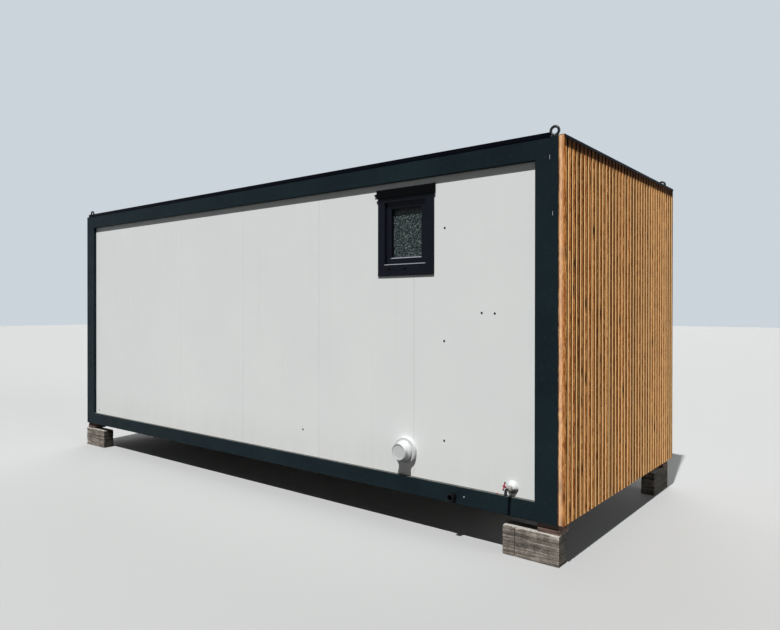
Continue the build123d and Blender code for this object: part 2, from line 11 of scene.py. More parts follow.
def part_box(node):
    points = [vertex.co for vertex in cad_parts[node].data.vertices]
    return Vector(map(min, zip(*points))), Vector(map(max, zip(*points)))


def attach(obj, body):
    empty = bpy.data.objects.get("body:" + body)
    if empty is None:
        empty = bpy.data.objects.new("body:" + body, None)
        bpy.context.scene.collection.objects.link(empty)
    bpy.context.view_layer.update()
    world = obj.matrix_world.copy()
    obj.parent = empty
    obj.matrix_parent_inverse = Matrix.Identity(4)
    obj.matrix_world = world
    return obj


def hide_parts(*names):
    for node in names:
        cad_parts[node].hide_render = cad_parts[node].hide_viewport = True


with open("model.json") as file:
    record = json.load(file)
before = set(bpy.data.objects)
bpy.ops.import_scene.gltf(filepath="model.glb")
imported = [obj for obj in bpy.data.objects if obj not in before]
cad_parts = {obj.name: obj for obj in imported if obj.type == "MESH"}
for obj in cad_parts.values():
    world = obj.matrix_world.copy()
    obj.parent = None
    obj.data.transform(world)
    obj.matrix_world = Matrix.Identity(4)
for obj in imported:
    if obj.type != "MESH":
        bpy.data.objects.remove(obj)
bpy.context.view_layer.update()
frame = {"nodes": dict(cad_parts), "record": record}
random.seed(11)
BODY = "cabin"

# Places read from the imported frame, in metres
post_low, post_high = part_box("corner_post_front_right")
left_low, left_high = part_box("corner_post_front_left")
back_low, back_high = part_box("corner_post_back_right")
panel_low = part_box("front_wall_panel_1")[0]
X_RIGHT, Y_FRONT, Z_FOOT = post_high.x, post_low.y, post_low.z
X_LEFT, Y_BACK, Z_TOP = left_low.x, back_high.y, post_high.z
X_WALL_RIGHT, X_WALL_LEFT = post_low.x, left_high.x
PANEL_FACE, WALL_BOTTOM = panel_low.y, panel_low.z


# Camera, set from the front right foot of the frame
CAMERA_OFFSET = Vector((1.7313, -3.907, 1.3948))
CAMERA_YAW = 0.6711
CAMERA_PITCH = -0.0037
CAMERA_ROLL = 0.0009
FOCAL_PX = 648.397
CENTRE_ROW = 310.732
IMAGE_WIDTH, IMAGE_HEIGHT = 780, 630
SENSOR = 36.0


def add_camera():
    data = bpy.data.cameras.new("camera")
    data.sensor_width = SENSOR
    data.lens = FOCAL_PX / IMAGE_WIDTH * SENSOR
    data.shift_y = (CENTRE_ROW - IMAGE_HEIGHT / 2) / IMAGE_WIDTH
    camera = bpy.data.objects.new("camera", data)
    bpy.context.scene.collection.objects.link(camera)
    forward = Vector((-math.sin(CAMERA_YAW) * math.cos(CAMERA_PITCH),
                      math.cos(CAMERA_YAW) * math.cos(CAMERA_PITCH), math.sin(CAMERA_PITCH)))
    level = Vector((math.cos(CAMERA_YAW), math.sin(CAMERA_YAW), 0))
    up = level.cross(forward)
    right = level * math.cos(CAMERA_ROLL) + up * math.sin(CAMERA_ROLL)
    up = up * math.cos(CAMERA_ROLL) - level * math.sin(CAMERA_ROLL)
    turn = Matrix((right, up, -forward)).transposed().to_4x4()
    camera.matrix_world = Matrix.Translation(Vector((X_RIGHT, Y_FRONT, Z_FOOT)) + CAMERA_OFFSET) @ turn
    bpy.context.scene.camera = camera


# Floor, backdrop and lights
def add_floor(seen_colour, bounce_colour):
    size = 60.0
    corners = [(-size, -size, 0), (size, -size, 0), (size, size, 0), (-size, size, 0)]
    mesh = bpy.data.meshes.new("floor")
    mesh.from_pydata(corners, [], [(0, 1, 2, 3)])
    floor = bpy.data.objects.new("floor", mesh)
    bpy.context.scene.collection.objects.link(floor)
    tree, shader = start("floor", 0.9, specular=0.1)
    path = tree.nodes.new("ShaderNodeLightPath")
    seen = math_node(tree, "MAXIMUM", path.outputs["Is Camera Ray"], path.outputs["Is Glossy Ray"])
    mix = mix_colour(tree, seen, bounce_colour, seen_colour)
    tree.links.new(mix, shader.inputs["Base Color"])
    mesh.materials.append(bpy.data.materials["floor"])


def add_sun(name, towards, strength, spread):
    data = bpy.data.lights.new(name, "SUN")
    data.energy = strength
    data.angle = math.radians(spread)
    sun = bpy.data.objects.new(name, data)
    bpy.context.scene.collection.objects.link(sun)
    sun.rotation_euler = Vector(towards).to_track_quat("Z", "Y").to_euler()


def add_world(strength, backdrop_colour):
    world = bpy.data.worlds.new("world")
    bpy.context.scene.world = world
    world.use_nodes = True
    tree = world.node_tree
    tree.nodes.clear()
    out = tree.nodes.new("ShaderNodeOutputWorld")
    light = tree.nodes.new("ShaderNodeBackground")
    light.inputs["Color"].default_value = (0.93, 0.97, 1.0, 1)
    light.inputs["Strength"].default_value = strength
    backdrop = tree.nodes.new("ShaderNodeBackground")
    backdrop.inputs["Color"].default_value = rgba(backdrop_colour)
    backdrop.inputs["Strength"].default_value = 1.0
    path = tree.nodes.new("ShaderNodeLightPath")
    seen = math_node(tree, "MAXIMUM", path.outputs["Is Camera Ray"], path.outputs["Is Glossy Ray"])
    seen = math_node(tree, "MAXIMUM", seen, path.outputs["Is Transmission Ray"])
    mix = tree.nodes.new("ShaderNodeMixShader")
    tree.links.new(seen, mix.inputs["Fac"])
    tree.links.new(light.outputs["Background"], mix.inputs[1])
    tree.links.new(backdrop.outputs["Background"], mix.inputs[2])
    tree.links.new(mix.outputs["Shader"], out.inputs["Surface"])


# Node helpers
def new_material(name):
    """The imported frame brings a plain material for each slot; that one is filled afresh."""
    material = bpy.data.materials.get(name) or bpy.data.materials.new(name)
    material.use_nodes = True
    tree = material.node_tree
    tree.nodes.clear()
    shader = tree.nodes.new("ShaderNodeBsdfPrincipled")
    out = tree.nodes.new("ShaderNodeOutputMaterial")
    tree.links.new(shader.outputs["BSDF"], out.inputs["Surface"])
    return tree, shader


def math_node(tree, operation, a, b=None, c=None):
    node = tree.nodes.new("ShaderNodeMath")
    node.operation = operation
    for socket, value in zip(node.inputs, (a, b, c)):
        if isinstance(value, bpy.types.NodeSocket):
            tree.links.new(value, socket)
        elif value is not None:
            socket.default_value = value
    return node.outputs["Value"]


def rgba(colour):
    return (*colour, 1.0)


def mix_colour(tree, factor, a, b, blend="MIX"):
    node = tree.nodes.new("ShaderNodeMix")
    node.data_type = "RGBA"
    node.blend_type = blend
    if isinstance(factor, bpy.types.NodeSocket):
        tree.links.new(factor, node.inputs["Factor"])
    else:
        node.inputs["Factor"].default_value = factor
    for key, value in (("A", a), ("B", b)):
        socket = [s for s in node.inputs if s.name == key and s.type == "RGBA"][0]
        if isinstance(value, bpy.types.NodeSocket):
            tree.links.new(value, socket)
        else:
            socket.default_value = rgba(value)
    return [s for s in node.outputs if s.type == "RGBA"][0]


def place(tree, scale=(1, 1, 1)):
    """Object coordinates, stretched."""
    coordinates = tree.nodes.new("ShaderNodeTexCoord")
    mapping = tree.nodes.new("ShaderNodeMapping")
    mapping.inputs["Scale"].default_value = scale
    tree.links.new(coordinates.outputs["Object"], mapping.inputs["Vector"])
    return mapping.outputs["Vector"]


def axes(tree, vector):
    node = tree.nodes.new("ShaderNodeSeparateXYZ")
    tree.links.new(vector, node.inputs["Vector"])
    return node.outputs


def noise(tree, vector, scale, detail=3.0, roughness=0.5, distortion=0.0):
    node = tree.nodes.new("ShaderNodeTexNoise")
    tree.links.new(vector, node.inputs["Vector"])
    node.inputs["Scale"].default_value = scale
    node.inputs["Detail"].default_value = detail
    node.inputs["Roughness"].default_value = roughness
    node.inputs["Distortion"].default_value = distortion
    return node.outputs["Fac"]


def cells(tree, vector, scale, feature="F1"):
    node = tree.nodes.new("ShaderNodeTexVoronoi")
    node.feature = feature
    node.inputs["Scale"].default_value = scale
    tree.links.new(vector, node.inputs["Vector"])
    return node.outputs["Distance"]


def ramp(tree, value, stops):
    """A colour ramp; each stop is a place and a grey level or a colour."""
    node = tree.nodes.new("ShaderNodeValToRGB")
    tree.links.new(value, node.inputs["Fac"])
    elements = node.color_ramp.elements
    for i, (where, colour) in enumerate(stops):
        element = elements[i] if i < 2 else elements.new(where)
        element.position = where
        element.color = rgba(colour) if isinstance(colour, tuple) else (colour, colour, colour, 1)
    return node.outputs["Color"]


def upward(tree, low, high):
    """0 on walls and undersides, rising to 1 where the surface faces up."""
    geometry = tree.nodes.new("ShaderNodeNewGeometry")
    return ramp(tree, axes(tree, geometry.outputs["Normal"])["Z"], [(low, 0.0), (high, 1.0)])


def bump(tree, shader, height, strength, distance, after=None):
    node = tree.nodes.new("ShaderNodeBump")
    node.inputs["Strength"].default_value = strength
    node.inputs["Distance"].default_value = distance
    tree.links.new(height, node.inputs["Height"])
    if after is not None:
        tree.links.new(after, node.inputs["Normal"])
    tree.links.new(node.outputs["Normal"], shader.inputs["Normal"])
    return node.outputs["Normal"]


def start(name, roughness, metallic=0.0, specular=0.5):
    tree, shader = new_material(name)
    shader.inputs["Roughness"].default_value = roughness
    shader.inputs["Metallic"].default_value = metallic
    shader.inputs["Specular IOR Level"].default_value = specular
    return tree, shader


def scaled(colour, factor):
    return tuple(min(c * factor, 1.0) for c in colour)


# Materials
def painted_steel(name, colour, dust, roughness=0.45, specular=0.2, dusty_top=0.8):
    """Satin paint with orange-peel and cloudy tone, and dust that lies on the faces that look up."""
    tree, shader = start(name, roughness, specular=specular)
    where = place(tree)
    clouds = noise(tree, where, 2.2, 5.0, 0.6)
    tone = ramp(tree, clouds, [(0.3, scaled(colour, 0.8)), (0.7, scaled(colour, 1.2))])
    specks = ramp(tree, noise(tree, where, 46.0, 6.0, 0.7), [(0.56, 0.0), (0.8, 0.3)])
    tone = mix_colour(tree, specks, tone, dust)
    patchy = ramp(tree, noise(tree, where, 24.0, 5.0, 0.65), [(0.3, 0.45), (0.65, 1.0)])
    top = math_node(tree, "MULTIPLY", upward(tree, 0.55, 0.95), patchy)
    tone = mix_colour(tree, math_node(tree, "MULTIPLY", top, dusty_top), tone, scaled(dust, 2.2))
    tree.links.new(tone, shader.inputs["Base Color"])
    rough = ramp(tree, noise(tree, where, 9.0, 5.0, 0.6), [(0.3, roughness - 0.08), (0.75, roughness + 0.16)])
    tree.links.new(rough, shader.inputs["Roughness"])
    bump(tree, shader, noise(tree, where, 420.0, 2.0), 0.12, 0.0004)
    return bpy.data.materials[name]


def wall_sheet():
    """White coated sheet, slightly wavy, with grime at the foot; the end behind the larch is dark."""
    tree, shader = start("wall_sheet", 0.42, specular=0.4)
    where = place(tree)
    clouds = noise(tree, where, 1.3, 4.0, 0.55)
    tone = ramp(tree, clouds, [(0.3, (0.82, 0.84, 0.825)), (0.7, (0.865, 0.88, 0.865))])
    height = math_node(tree, "SUBTRACT", axes(tree, where)["Z"], WALL_BOTTOM)
    foot = math_node(tree, "SUBTRACT", 1.0, math_node(tree, "MULTIPLY", height, 3.2))
    streaks = noise(tree, place(tree, (14, 14, 0.9)), 1.0, 5.0, 0.6)
    grime = math_node(tree, "MULTIPLY", math_node(tree, "MAXIMUM", foot, 0.0), streaks)
    tone = mix_colour(tree, math_node(tree, "MULTIPLY", grime, 0.22), tone, (0.46, 0.42, 0.35))
    runs = ramp(tree, noise(tree, place(tree, (22, 22, 0.35)), 1.0, 4.0, 0.55), [(0.62, 0.0), (0.8, 0.1)])
    tone = mix_colour(tree, runs, tone, (0.5, 0.48, 0.42))
    behind_larch = math_node(tree, "GREATER_THAN", axes(tree, where)["X"], X_WALL_RIGHT + 0.02)
    tone = mix_colour(tree, behind_larch, tone, (0.012, 0.013, 0.014))
    tree.links.new(tone, shader.inputs["Base Color"])
    wavy = noise(tree, place(tree, (1.0, 1.0, 0.35)), 2.2, 1.0)
    normal = bump(tree, shader, wavy, 0.15, 0.01)
    bump(tree, shader, noise(tree, where, 500.0, 2.0), 0.06, 0.0003, normal)
    return bpy.data.materials["wall_sheet"]


BATTEN_PITCH = 0.0669
BATTEN_WIDTH = 0.040
BATTEN_COUNT = 37


def board_random(tree, board, seed):
    node = tree.nodes.new("ShaderNodeTexWhiteNoise")
    node.noise_dimensions = "1D"
    tree.links.new(math_node(tree, "ADD", board, seed), node.inputs["W"])
    return node.outputs["Value"]


def painted_sun_and_shade(tree, tone, position):
    """Painted sunlit arrises on the battens' sides that face the sun, painted shade deeper in the gaps and a
    painted shadow band under the trim.

    The outer side of the first batten has painted light and shade: from a dark arris to a pale, painted
    sunlit middle and painted shade in the joint.
    """
    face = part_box("larch_battens")[1].x
    geometry = tree.nodes.new("ShaderNodeNewGeometry")
    turned = axes(tree, geometry.outputs["Normal"])["Y"]
    depth = math_node(tree, "MULTIPLY", math_node(tree, "SUBTRACT", face, position["X"]), 50.0)
    # Painted highlight: the outer part of each batten side that faces the sun is painted pale, as if sunlit.
    aside = ramp(tree, math_node(tree, "MULTIPLY", turned, -1.0), [(0.35, 0.0), (0.6, 1.0)])
    near = ramp(tree, depth, [(0.2, 0.95), (0.36, 0.0)])
    inside = math_node(tree, "GREATER_THAN", position["Y"], Y_FRONT + 0.002)
    painted_sunlit_arris = math_node(tree, "MULTIPLY", math_node(tree, "MULTIPLY", aside, near), inside)
    tone = mix_colour(tree, painted_sunlit_arris, tone, (1.0, 0.65, 0.31))
    # Painted shade: the batten sides are darkened deeper into the gaps between battens.
    painted_gap_shade = ramp(tree, depth, [(0.22, 0.0), (0.5, 0.92)])
    tone = mix_colour(tree, math_node(tree, "MULTIPLY", painted_gap_shade, inside), tone, (0.11, 0.030, 0.004))
    # Painted light and shade on the outer side of the first batten: a pale, painted sunlit middle and painted
    # shade in the joint.
    reach = math_node(tree, "DIVIDE", math_node(tree, "SUBTRACT", face, position["X"]), face - X_RIGHT)
    outer = ramp(tree, reach, [(0.02, (0.25, 0.085, 0.02)), (0.26, (0.5, 0.22, 0.09)),
                               (0.42, (0.98, 0.60, 0.36)), (0.8, (1.0, 0.72, 0.50)),
                               (0.87, (0.03, 0.012, 0.006))])
    outside = math_node(tree, "MULTIPLY", aside, math_node(tree, "SUBTRACT", 1.0, inside))
    tone = mix_colour(tree, math_node(tree, "MULTIPLY", outside, 0.58), tone, outer)
    # Painted shadow: a dark band on the battens just under the end trim.
    under = ramp(tree, math_node(tree, "SUBTRACT", Z_TOP, position["Z"]), [(0.066, 0.88), (0.078, 0.0)])
    return mix_colour(tree, math_node(tree, "MULTIPLY", under, inside), tone, (0.035, 0.014, 0.010))


def larch(name, along, seed_axis, pitch, seed_start):
    """Oiled larch, with grain along one axis and another board at each step along the other."""
    tree, shader = start(name, 0.65, specular=0.01)
    position = axes(tree, place(tree))
    shift = math_node(tree, "SUBTRACT", position[seed_axis], seed_start)
    board = math_node(tree, "FLOOR", math_node(tree, "DIVIDE", shift, pitch))
    tone_pick = board_random(tree, board, 0.5)
    hue_pick = board_random(tree, board, 41.5)
    jump = math_node(tree, "MULTIPLY", tone_pick, 37.0)
    moved = tree.nodes.new("ShaderNodeCombineXYZ")
    for axis in "XYZ":
        tree.links.new(math_node(tree, "ADD", position[axis], jump), moved.inputs[axis])

    def stretched(lengthwise, across):
        node = tree.nodes.new("ShaderNodeMapping")
        node.inputs["Scale"].default_value = tuple(lengthwise if axis == along else across for axis in "XYZ")
        tree.links.new(moved.outputs["Vector"], node.inputs["Vector"])
        return node.outputs["Vector"]

    wide = noise(tree, stretched(1.2, 24.0), 1.0, 3.0, 0.5, 0.8)
    fine = noise(tree, stretched(12.0, 210.0), 1.0, 5.0, 0.7)
    rings = math_node(tree, "SINE", math_node(tree, "MULTIPLY", wide, 52.0))
    rings = math_node(tree, "MULTIPLY_ADD", rings, 0.5, 0.5)
    pattern = math_node(tree, "ADD", math_node(tree, "MULTIPLY", rings, 0.42),
                        math_node(tree, "MULTIPLY", fine, 0.62))
    tone = ramp(tree, pattern, [(0.26, (1.0, 0.49, 0.17)), (0.5, (0.76, 0.275, 0.065)),
                                (0.72, (0.27, 0.066, 0.011))])
    streak = ramp(tree, noise(tree, stretched(0.35, 30.0), 1.0, 2.0), [(0.56, 0.0), (0.7, 0.6)])
    tone = mix_colour(tree, streak, tone, (1.0, 0.58, 0.22))
    dark_streak = ramp(tree, noise(tree, stretched(0.9, 60.0), 1.0, 2.0), [(0.3, 0.7), (0.44, 0.0)])
    tone = mix_colour(tree, dark_streak, tone, (0.19, 0.055, 0.010))
    flecks = noise(tree, stretched(22.0, 95.0), 1.0, 2.0, 0.6, 0.8)
    tone = mix_colour(tree, ramp(tree, flecks, [(0.37, 0.85), (0.46, 0.0)]), tone, (0.22, 0.052, 0.008))
    tone = mix_colour(tree, ramp(tree, flecks, [(0.54, 0.0), (0.64, 0.8)]), tone, (1.0, 0.56, 0.22))
    tint = ramp(tree, tone_pick, [(0.0, 0.52), (0.25, 0.8), (0.6, 0.98), (1.0, 1.3)])
    hue = ramp(tree, hue_pick, [(0.0, (1.0, 0.86, 0.72)), (0.5, (1.0, 0.97, 0.92)), (1.0, (0.97, 1.0, 1.0))])
    tone = mix_colour(tree, 1.0, mix_colour(tree, 1.0, tone, tint, "MULTIPLY"), hue, "MULTIPLY")
    spots = cells(tree, stretched(3.6, 9.0), 1.0)
    ring = ramp(tree, spots, [(0.08, 0.0), (0.14, 0.8), (0.27, 0.0)])
    tone = mix_colour(tree, ring, tone, (0.30, 0.12, 0.035))
    spot = ramp(tree, spots, [(0.08, 1.0), (0.14, 0.0)])
    tone = mix_colour(tree, spot, tone, (0.07, 0.027, 0.012))
    # Painted light and shade on the battens: sunlit arrises, shaded gaps and the trim's shadow.
    tone = painted_sun_and_shade(tree, tone, position)
    tree.links.new(tone, shader.inputs["Base Color"])
    rough = ramp(tree, fine, [(0.3, 0.5), (0.8, 0.72)])
    tree.links.new(rough, shader.inputs["Roughness"])
    bump(tree, shader, pattern, 0.45, 0.0012)
    return bpy.data.materials[name]


def dull_wood(name, light, dark, along="Y", bump_depth=0.003):
    """Plain wood for the boards that lie under and over the cabin."""
    tree, shader = start(name, 0.85, specular=0.2)
    where = place(tree, tuple(1.0 if axis == along else 16.0 for axis in "XYZ"))
    grain = noise(tree, where, 3.5, 7.0, 0.65, 0.8)
    tree.links.new(ramp(tree, grain, [(0.34, dark), (0.66, light)]), shader.inputs["Base Color"])
    bump(tree, shader, grain, 0.6, bump_depth)
    return bpy.data.materials[name]


def smooth_plastic(name, colour, roughness, speck=0.04, specular=0.5, dust=None):
    tree, shader = start(name, roughness, specular=specular)
    where = place(tree)
    clouds = noise(tree, where, 14.0, 4.0)
    tone = ramp(tree, clouds, [(0.3, scaled(colour, 1 - speck)), (0.7, scaled(colour, 1 + speck))])
    # Up-facing faces are mixed towards the dust colour; on the window frame this is partly dust and partly a
    # painted highlight on the bevels.
    if dust:
        tone = mix_colour(tree, upward(tree, 0.3, 0.55), tone, dust)
    tree.links.new(tone, shader.inputs["Base Color"])
    rough = ramp(tree, noise(tree, where, 40.0, 3.0), [(0.3, roughness - 0.05), (0.7, roughness + 0.08)])
    tree.links.new(rough, shader.inputs["Roughness"])
    bump(tree, shader, noise(tree, where, 900.0, 2.0), 0.05, 0.0002)
    return bpy.data.materials[name]


def white_plastic():
    """White fittings; the half of the tap's collar that faces the ground has painted shade."""
    smooth_plastic("white_plastic", (0.62, 0.63, 0.63), 0.45, 0.02, 0.15)
    tree = bpy.data.materials["white_plastic"].node_tree
    shader = tree.nodes["Principled BSDF"]
    clean = shader.inputs["Base Color"].links[0].from_socket
    geometry = tree.nodes.new("ShaderNodeNewGeometry")
    painted_underside_shade = math_node(tree, "MULTIPLY", axes(tree, geometry.outputs["Normal"])["Z"], -1.0)
    painted_underside_shade = ramp(tree, painted_underside_shade, [(0.02, 0.0), (0.22, 0.9)])
    collar = math_node(tree, "GREATER_THAN", axes(tree, place(tree))["X"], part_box("tap_collar")[0].x - 0.01)
    # Painted shade: the collar's lower half is darkened.
    tone = mix_colour(tree, math_node(tree, "MULTIPLY", painted_underside_shade, collar), clean, (0.10, 0.10, 0.095))
    tree.links.new(tone, shader.inputs["Base Color"])
    return bpy.data.materials["white_plastic"]


def metal(name, colour, roughness, grain_scale=60.0):
    tree, shader = start(name, roughness, metallic=1.0)
    wear = noise(tree, place(tree), grain_scale, 5.0, 0.6)
    tone = ramp(tree, wear, [(0.3, scaled(colour, 0.7)), (0.65, colour)])
    tree.links.new(tone, shader.inputs["Base Color"])
    rough = ramp(tree, wear, [(0.3, roughness + 0.15), (0.7, roughness)])
    tree.links.new(rough, shader.inputs["Roughness"])
    bump(tree, shader, wear, 0.1, 0.0005)
    return bpy.data.materials[name]


def pebbled_glass():
    """Dark obscured glass with a pebbled face."""
    tree, shader = start("window_glass", 0.3, specular=0.15)
    where = place(tree)
    pebbles = cells(tree, where, 115.0, "SMOOTH_F1")
    clumps = noise(tree, where, 92.0, 3.0, 0.6)
    mixed = math_node(tree, "ADD", math_node(tree, "MULTIPLY", pebbles, 0.6),
                      math_node(tree, "MULTIPLY", clumps, 0.6))
    tone = ramp(tree, mixed, [(0.42, (0.006, 0.011, 0.013)), (0.56, (0.022, 0.035, 0.037)),
                              (0.7, (0.135, 0.165, 0.155))])
    tree.links.new(tone, shader.inputs["Base Color"])
    bump(tree, shader, pebbles, 0.9, 0.004)
    return bpy.data.materials["window_glass"]


def concrete():
    """Board-marked grey concrete with pores and damp tones, and painted shade on the ends that face +X."""
    tree, shader = start("concrete", 0.92, specular=0.25)
    where = place(tree)
    long_grain = noise(tree, place(tree, (3.0, 3.0, 75.0)), 1.0, 6.0, 0.6, 0.6)
    clouds = noise(tree, where, 11.0, 7.0, 0.65)
    pores = noise(tree, where, 120.0, 5.0, 0.65)
    mixed = math_node(tree, "ADD", math_node(tree, "MULTIPLY", long_grain, 0.62),
                      math_node(tree, "MULTIPLY", clouds, 0.38))
    tone = ramp(tree, mixed, [(0.39, (0.085, 0.074, 0.063)), (0.5, (0.235, 0.203, 0.172)),
                              (0.61, (0.47, 0.42, 0.36))])
    blotches = noise(tree, place(tree, (9.0, 9.0, 14.0)), 1.0, 6.0, 0.7)
    stains = ramp(tree, blotches, [(0.56, 0.0), (0.66, 0.55)])
    tone = mix_colour(tree, stains, tone, (0.085, 0.07, 0.06))
    holes = ramp(tree, pores, [(0.36, 0.2), (0.45, 1.0)])
    tone = mix_colour(tree, upward(tree, 0.45, 0.75), tone, (0.42, 0.40, 0.36))
    # Painted shade: faces turned towards +X are darkened.
    geometry = tree.nodes.new("ShaderNodeNewGeometry")
    end = ramp(tree, axes(tree, geometry.outputs["Normal"])["X"], [(0.5, 0.0), (0.85, 0.72)])
    tone = mix_colour(tree, end, tone, (0.035, 0.034, 0.026))
    tone = mix_colour(tree, 1.0, tone, holes, "MULTIPLY")
    tree.links.new(tone, shader.inputs["Base Color"])
    height = math_node(tree, "ADD", math_node(tree, "MULTIPLY", long_grain, 0.7),
                       math_node(tree, "MULTIPLY", pores, 0.5))
    bump(tree, shader, height, 0.7, 0.004)
    return bpy.data.materials["concrete"]


def membrane():
    """Mineral felt: fine grit and slow clouds of dust."""
    tree, shader = start("roof_membrane", 0.85, specular=0.3)
    where = place(tree)
    clouds = noise(tree, where, 1.6, 6.0, 0.6)
    tone = ramp(tree, clouds, [(0.3, (0.028, 0.03, 0.032)), (0.7, (0.06, 0.06, 0.058))])
    grit = ramp(tree, noise(tree, where, 320.0, 2.0), [(0.5, 0.0), (0.7, 0.4)])
    tree.links.new(mix_colour(tree, grit, tone, (0.13, 0.13, 0.125)), shader.inputs["Base Color"])
    bump(tree, shader, noise(tree, where, 260.0, 3.0), 0.5, 0.002)
    return bpy.data.materials["roof_membrane"]


def make_materials():
    anthracite = (0.0100, 0.0190, 0.0235)
    frame_plastic = (0.0055, 0.0064, 0.0115)
    bevel_dust_and_sheen = (0.23, 0.24, 0.26)
    return {
        "frame_paint": painted_steel("frame_paint", anthracite, (0.07, 0.068, 0.06), 0.45, 0.05),
        "joist_steel": metal("joist_steel", (0.5, 0.51, 0.52), 0.45, 30.0),
        "floor_board": dull_wood("floor_board", (0.34, 0.22, 0.12), (0.16, 0.095, 0.05)),
        "ceiling_board": smooth_plastic("ceiling_board", (0.78, 0.78, 0.76), 0.6),
        "roof_board": dull_wood("roof_board", (0.36, 0.24, 0.14), (0.2, 0.12, 0.07)),
        "roof_membrane": membrane(),
        "edge_trim": painted_steel("edge_trim", (0.0022, 0.0028, 0.006), (0.02, 0.02, 0.02), 0.4, 0.03, 0.35),
        "lifting_steel": painted_steel("lifting_steel", (0.007, 0.008, 0.010), (0.12, 0.12, 0.12),
                                       0.34, 0.35, 0.12),
        "wall_sheet": wall_sheet(),
        "larch": larch("larch", "Z", "Y", BATTEN_PITCH, Y_FRONT - 0.01),
        "window_plastic": smooth_plastic("window_plastic", frame_plastic, 0.38, 0.15, 0.1, bevel_dust_and_sheen),
        "cassette_plastic": smooth_plastic("cassette_plastic", (0.0016, 0.0016, 0.0022), 0.55, 0.15, 0.04),
        "window_glass": pebbled_glass(),
        "door_plastic": smooth_plastic("door_plastic", frame_plastic, 0.4, 0.15, 0.2),
        "door_steel": metal("door_steel", (0.55, 0.55, 0.54), 0.3),
        "white_plastic": white_plastic(),
        "tap_metal": metal("tap_metal", (0.66, 0.63, 0.57), 0.25),
        "tap_red": painted_steel("tap_red", (0.33, 0.008, 0.035), (0.3, 0.05, 0.05), 0.35, 0.3, 0.0),
        "black_plastic": smooth_plastic("black_plastic", (0.004, 0.004, 0.005), 0.25, 0.2, 0.4),
        "concrete": concrete(),
        "pack_timber": dull_wood("pack_timber", (0.40, 0.265, 0.22), (0.018, 0.010, 0.008), "X", 0.006),
    }


materials = make_materials()


# Mesh helpers
def make(name, bm, material, body=BODY, replaced=(), sharp=32):
    """Turn a bmesh into a piece that rides on a body of the cabin."""
    bmesh.ops.recalc_face_normals(bm, faces=bm.faces)
    mesh = bpy.data.meshes.new(name)
    bm.to_mesh(mesh)
    bm.free()
    mesh.shade_smooth()
    mesh.set_sharp_from_angle(angle=math.radians(sharp))
    mesh.materials.append(materials[material])
    piece = bpy.data.objects.new(name, mesh)
    bpy.context.scene.collection.objects.link(piece)
    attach(piece, body)
    if replaced:
        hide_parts(*replaced)
    return piece


def add_box(bm, low, high, bevel=0.001, segments=2):
    low, high = Vector(low), Vector(high)
    size = Matrix.Diagonal((*(high - low), 1))
    made = bmesh.ops.create_cube(bm, size=1.0, matrix=Matrix.Translation((low + high) / 2) @ size)
    edges = list({edge for vert in made["verts"] for edge in vert.link_edges})
    bmesh.ops.bevel(bm, geom=edges, offset=bevel, segments=segments, profile=0.5, affect="EDGES")


def add_ring(bm, outer, inner, y_front, y_back):
    """A flat rectangular ring in a wall; outer and inner are (x0, x1, z0, z1)."""
    loops = []
    for x0, x1, z0, z1 in (outer, inner):
        for y in (y_front, y_back):
            loops.append([bm.verts.new((x, y, z)) for x, z in ((x0, z0), (x1, z0), (x1, z1), (x0, z1))])
    front_out, back_out, front_in, back_in = loops
    for a, b in ((front_out, front_in), (front_in, back_in), (back_in, back_out), (back_out, front_out)):
        for i in range(4):
            j = (i + 1) % 4
            bm.faces.new((a[i], a[j], b[j], b[i]))


def add_turned(bm, profile, origin, axis, segments=32):
    """A turned shape; the profile lists (distance along the axis, radius)."""
    axis, origin = Vector(axis).normalized(), Vector(origin)
    across = axis.orthogonal().normalized()
    other = axis.cross(across)
    turns = [math.tau * i / segments for i in range(segments)]
    spokes = [across * math.cos(t) + other * math.sin(t) for t in turns]
    rings = []
    for along, radius in profile:
        centre = origin + axis * along
        if radius < 1e-6:
            rings.append([bm.verts.new(centre)])
        else:
            rings.append([bm.verts.new(centre + spoke * radius) for spoke in spokes])
    for a, b in zip(rings, rings[1:]):
        for i in range(segments):
            j = (i + 1) % segments
            corners = [a[i % len(a)], a[j % len(a)], b[j % len(b)], b[i % len(b)]]
            bm.faces.new(list(dict.fromkeys(corners)))


def add_tube(bm, points, radius, segments=12):
    """A round bar along a line of points, closed at both ends."""
    points = [Vector(p) for p in points]
    side = (points[1] - points[0]).orthogonal().normalized()
    turns = [math.tau * k / segments for k in range(segments)]
    rings = []
    for i, point in enumerate(points):
        ahead = points[min(i + 1, len(points) - 1)] - points[max(i - 1, 0)]
        ahead.normalize()
        side = (side - ahead * side.dot(ahead)).normalized()
        other = ahead.cross(side)
        spokes = [side * math.cos(t) + other * math.sin(t) for t in turns]
        rings.append([bm.verts.new(point + spoke * radius) for spoke in spokes])
    for a, b in zip(rings, rings[1:]):
        for i in range(segments):
            j = (i + 1) % segments
            bm.faces.new((a[i], a[j], b[j], b[i]))
    bm.faces.new(rings[0][::-1])
    bm.faces.new(rings[-1])


def add_weathered(bm, low, high, step, wear):
    """A box of small faces; wear(point) gives the rounding of its edges and the depth worn away there."""
    low, high = Vector(low), Vector(high)
    counts = [max(2, round((high[i] - low[i]) / step)) for i in range(3)]
    verts = {}

    def vert(index):
        if index not in verts:
            p = Vector([low[i] + (high[i] - low[i]) * index[i] / counts[i] for i in range(3)])
            radius, worn = wear(p)
            inner = Vector([min(max(p[i], low[i] + radius), high[i] - radius) for i in range(3)])
            p = inner + (p - inner).normalized() * (radius - worn)
            if index[2] == 0:
                p.z = low.z
            verts[index] = bm.verts.new(p)
        return verts[index]

    for axis in range(3):
        u, v = (axis + 1) % 3, (axis + 2) % 3
        for side in (0, counts[axis]):
            for a in range(counts[u]):
                for b in range(counts[v]):
                    corners = []
                    for da, db in ((0, 0), (1, 0), (1, 1), (0, 1)):
                        index = [0, 0, 0]
                        index[axis], index[u], index[v] = side, a + da, b + db
                        corners.append(vert(tuple(index)))
                    bm.faces.new(corners)


